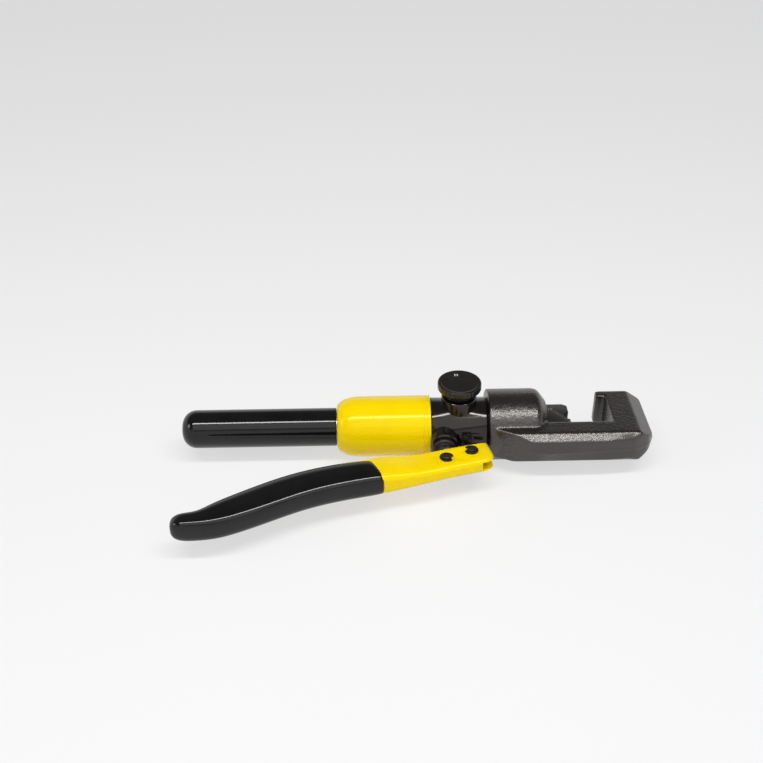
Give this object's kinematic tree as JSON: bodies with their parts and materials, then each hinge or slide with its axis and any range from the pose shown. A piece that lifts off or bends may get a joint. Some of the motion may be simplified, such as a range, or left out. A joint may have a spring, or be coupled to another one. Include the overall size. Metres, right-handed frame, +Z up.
{
  "type": "hydraulic crimping tool",
  "caption": "Hand hydraulic crimping tool: swivelling black C head with ram and die, yellow oil reservoir, release knob, fixed grip and a pump lever with a vinyl grip.",
  "frame": {"origin": "on the ram axis, at the middle of the plain cylindrical wall of the oil reservoir", "axes": "+X along the ram axis from the fixed grip to the head, +Y to the open side of the C, +Z up to the release knob; the pump lever lies on the -Y side"},
  "size_m": [0.312, 0.1298, 0.0585],
  "materials": {
    "yellow_paint": "gloss yellow enamel, light orange peel",
    "grip_vinyl": "dipped black vinyl, glossy",
    "black_body": "gloss black finish on machined steel",
    "forged_black": "black oxide on a rough forging",
    "die_black": "black oxide on machined steel",
    "steel": "ground and turned steel",
    "brass": "turned brass",
    "seal_rubber": "oil-resistant rubber"
  },
  "bodies": {
    "pump": {"pump_body": "black_body", "reservoir_shell": "yellow_paint", "handle_tube": "steel", "fixed_grip": "grip_vinyl", "shell_seal": "seal_rubber", "head_seal": "seal_rubber", "head_keeper_ring": "steel", "plunger_gland": "die_black", "plunger_seal": "seal_rubber", "suction_seat": "brass", "suction_screen": "brass", "suction_spring": "steel", "discharge_spring": "steel", "discharge_screw": "steel", "relief_spring": "steel", "relief_screw": "steel", "oil_bladder": "seal_rubber", "bladder_plug": "brass", "bladder_clamp": "steel", "link_pin": "die_black"},
    "plunger": {"plunger": "steel"},
    "lever": {"lever": "yellow_paint", "lever_grip": "grip_vinyl", "plunger_pin": "die_black", "fulcrum_pin": "die_black", "pin_clips": "die_black"},
    "link": {"rocker_link": "die_black"},
    "head": {"head_frame": "forged_black", "return_spring": "steel"},
    "ram": {"ram": "steel", "ram_seal": "seal_rubber", "moving_die": "die_black"},
    "release_ball": {"release_ball": "steel"},
    "release_valve": {"release_stem": "steel", "stem_seal": "seal_rubber", "release_knob": "black_body"},
    "suction_ball": {"suction_ball": "steel"},
    "discharge_ball": {"discharge_ball": "steel"},
    "relief_ball": {"relief_ball": "steel"}
  },
  "joints": [
    {"name": "plunger_slide", "type": "slide", "parent": "pump", "child": "plunger", "axis": [0, -1, 0], "range_m": [-0.003, 0.0064]},
    {"name": "lever_swing", "type": "hinge", "parent": "plunger", "child": "lever", "pos_m": [0.034, -0.043, 0], "axis": [0, 0, 1], "range_deg": [-10, 23]},
    {"name": "link_rock", "type": "hinge", "parent": "pump", "child": "link", "pos_m": [0.048, -0.0223, 0], "axis": [0, 0, 1], "range_deg": [-16.5, 8]},
    {"name": "head_swivel", "type": "hinge", "parent": "pump", "child": "head", "pos_m": [0.064, 0, 0], "axis": [1, 0, 0], "range_deg": [-90, 90]},
    {"name": "ram_slide", "type": "slide", "parent": "head", "child": "ram", "axis": [1, 0, 0], "range_m": [0, 0.0102], "stiffness_N_per_m": 1500, "springref_m": -0.01, "deforming": ["return_spring"]},
    {"name": "release_lift", "type": "slide", "parent": "pump", "child": "release_ball", "axis": [0, 0, 1], "range_m": [0, 0.000937]},
    {"name": "knob_turn", "type": "hinge", "parent": "release_ball", "child": "release_valve", "pos_m": [0.0449, 0, 0.03], "axis": [0, 0, 1], "range_deg": [0, 270]},
    {"name": "suction_lift", "type": "slide", "parent": "pump", "child": "suction_ball", "axis": [1, 0, 0], "range_m": [0, 0.0005], "stiffness_N_per_m": 40, "springref_m": -0.002, "deforming": ["suction_spring"]},
    {"name": "discharge_lift", "type": "slide", "parent": "pump", "child": "discharge_ball", "axis": [1, 0, 0], "range_m": [0, 0.001], "stiffness_N_per_m": 60, "springref_m": -0.002, "deforming": ["discharge_spring"]},
    {"name": "relief_lift", "type": "slide", "parent": "pump", "child": "relief_ball", "axis": [-1, 0, 0], "range_m": [0, 0.0008], "stiffness_N_per_m": 400, "springref_m": -0.002, "deforming": ["relief_spring"]}
  ],
  "couplings": [
    {"joint": "plunger_slide", "follows": "lever_swing", "m_per_rad": 0.01524},
    {"joint": "link_rock", "follows": "lever_swing", "ratio": -0.68},
    {"joint": "knob_turn", "follows": "release_lift", "rad_per_m": 5025}
  ]
}
